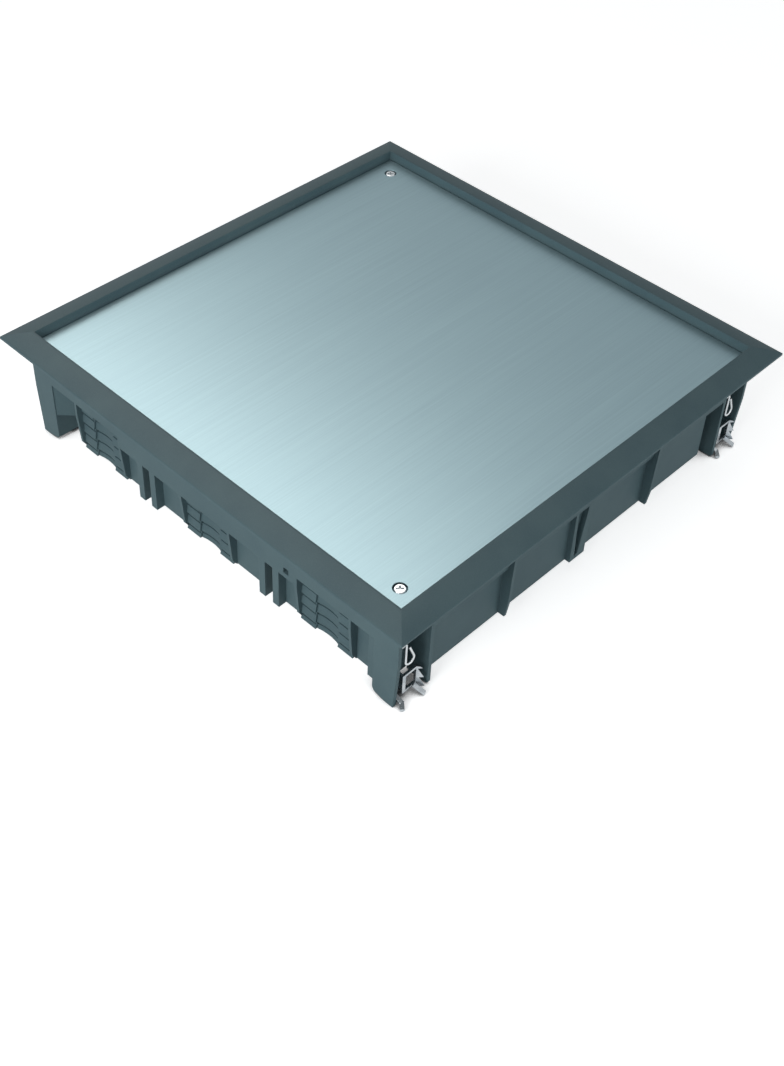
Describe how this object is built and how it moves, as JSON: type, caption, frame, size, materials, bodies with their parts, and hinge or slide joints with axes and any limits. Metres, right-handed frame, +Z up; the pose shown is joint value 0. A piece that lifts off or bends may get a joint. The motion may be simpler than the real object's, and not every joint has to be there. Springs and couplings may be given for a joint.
{
  "type": "floor box cover",
  "caption": "Square floor box cover: moulded frame with a steel lid plate for an inlay and four screw-driven clamping claws in its corner pockets.",
  "frame": {"origin": "centre of the square in plan, at the height of the feet", "axes": "+Z up out of the floor, +X along the right front side of the picture, +Y along its left front side"},
  "size_m": [0.264, 0.264, 0.06],
  "materials": {
    "frame_plastic": "fine textured slate grey",
    "lid_steel": "fine brushed",
    "zinc": "bright zinc plated",
    "spring_steel": "bright drawn wire",
    "brass": "turned"
  },
  "bodies": {
    "cover": {"frame": "frame_plastic", "lid_plate": "lid_steel", "lid_screw_front": "zinc", "lid_screw_far": "zinc", "lid_insert_front": "brass", "lid_insert_far": "brass", "claw_spring_front": "spring_steel", "claw_spring_right": "spring_steel", "claw_spring_far": "spring_steel", "claw_spring_left": "spring_steel"},
    "screw_front": {"claw_screw_front": "zinc"},
    "clamp_front": {"claw_front": "zinc", "claw_nut_front": "zinc"},
    "screw_right": {"claw_screw_right": "zinc"},
    "clamp_right": {"claw_right": "zinc", "claw_nut_right": "zinc"},
    "screw_far": {"claw_screw_far": "zinc"},
    "clamp_far": {"claw_far": "zinc", "claw_nut_far": "zinc"},
    "screw_left": {"claw_screw_left": "zinc"},
    "clamp_left": {"claw_left": "zinc", "claw_nut_left": "zinc"}
  },
  "joints": [
    {"name": "turn_front", "type": "hinge", "parent": "cover", "child": "screw_front", "pos_m": [-0.1154, -0.1138, 0.04845], "axis": [0, 0, 1], "range_deg": [0, 7721.5]},
    {"name": "lift_front", "type": "slide", "parent": "cover", "child": "clamp_front", "axis": [0, 0, 1], "range_m": [0, 0.015]},
    {"name": "turn_right", "type": "hinge", "parent": "cover", "child": "screw_right", "pos_m": [0.111, -0.1138, 0.04845], "axis": [0, 0, 1], "range_deg": [0, 7721.5]},
    {"name": "lift_right", "type": "slide", "parent": "cover", "child": "clamp_right", "axis": [0, 0, 1], "range_m": [0, 0.015]},
    {"name": "turn_far", "type": "hinge", "parent": "cover", "child": "screw_far", "pos_m": [0.1154, 0.1138, 0.04845], "axis": [0, 0, 1], "range_deg": [0, 7721.5]},
    {"name": "lift_far", "type": "slide", "parent": "cover", "child": "clamp_far", "axis": [0, 0, 1], "range_m": [0, 0.015]},
    {"name": "turn_left", "type": "hinge", "parent": "cover", "child": "screw_left", "pos_m": [-0.111, 0.1138, 0.04845], "axis": [0, 0, 1], "range_deg": [0, 7721.5]},
    {"name": "lift_left", "type": "slide", "parent": "cover", "child": "clamp_left", "axis": [0, 0, 1], "range_m": [0, 0.015]}
  ],
  "couplings": [
    {"joint": "turn_front", "follows": "lift_front", "rad_per_m": 8976},
    {"joint": "turn_right", "follows": "lift_right", "rad_per_m": 8976},
    {"joint": "turn_far", "follows": "lift_far", "rad_per_m": 8976},
    {"joint": "turn_left", "follows": "lift_left", "rad_per_m": 8976}
  ]
}
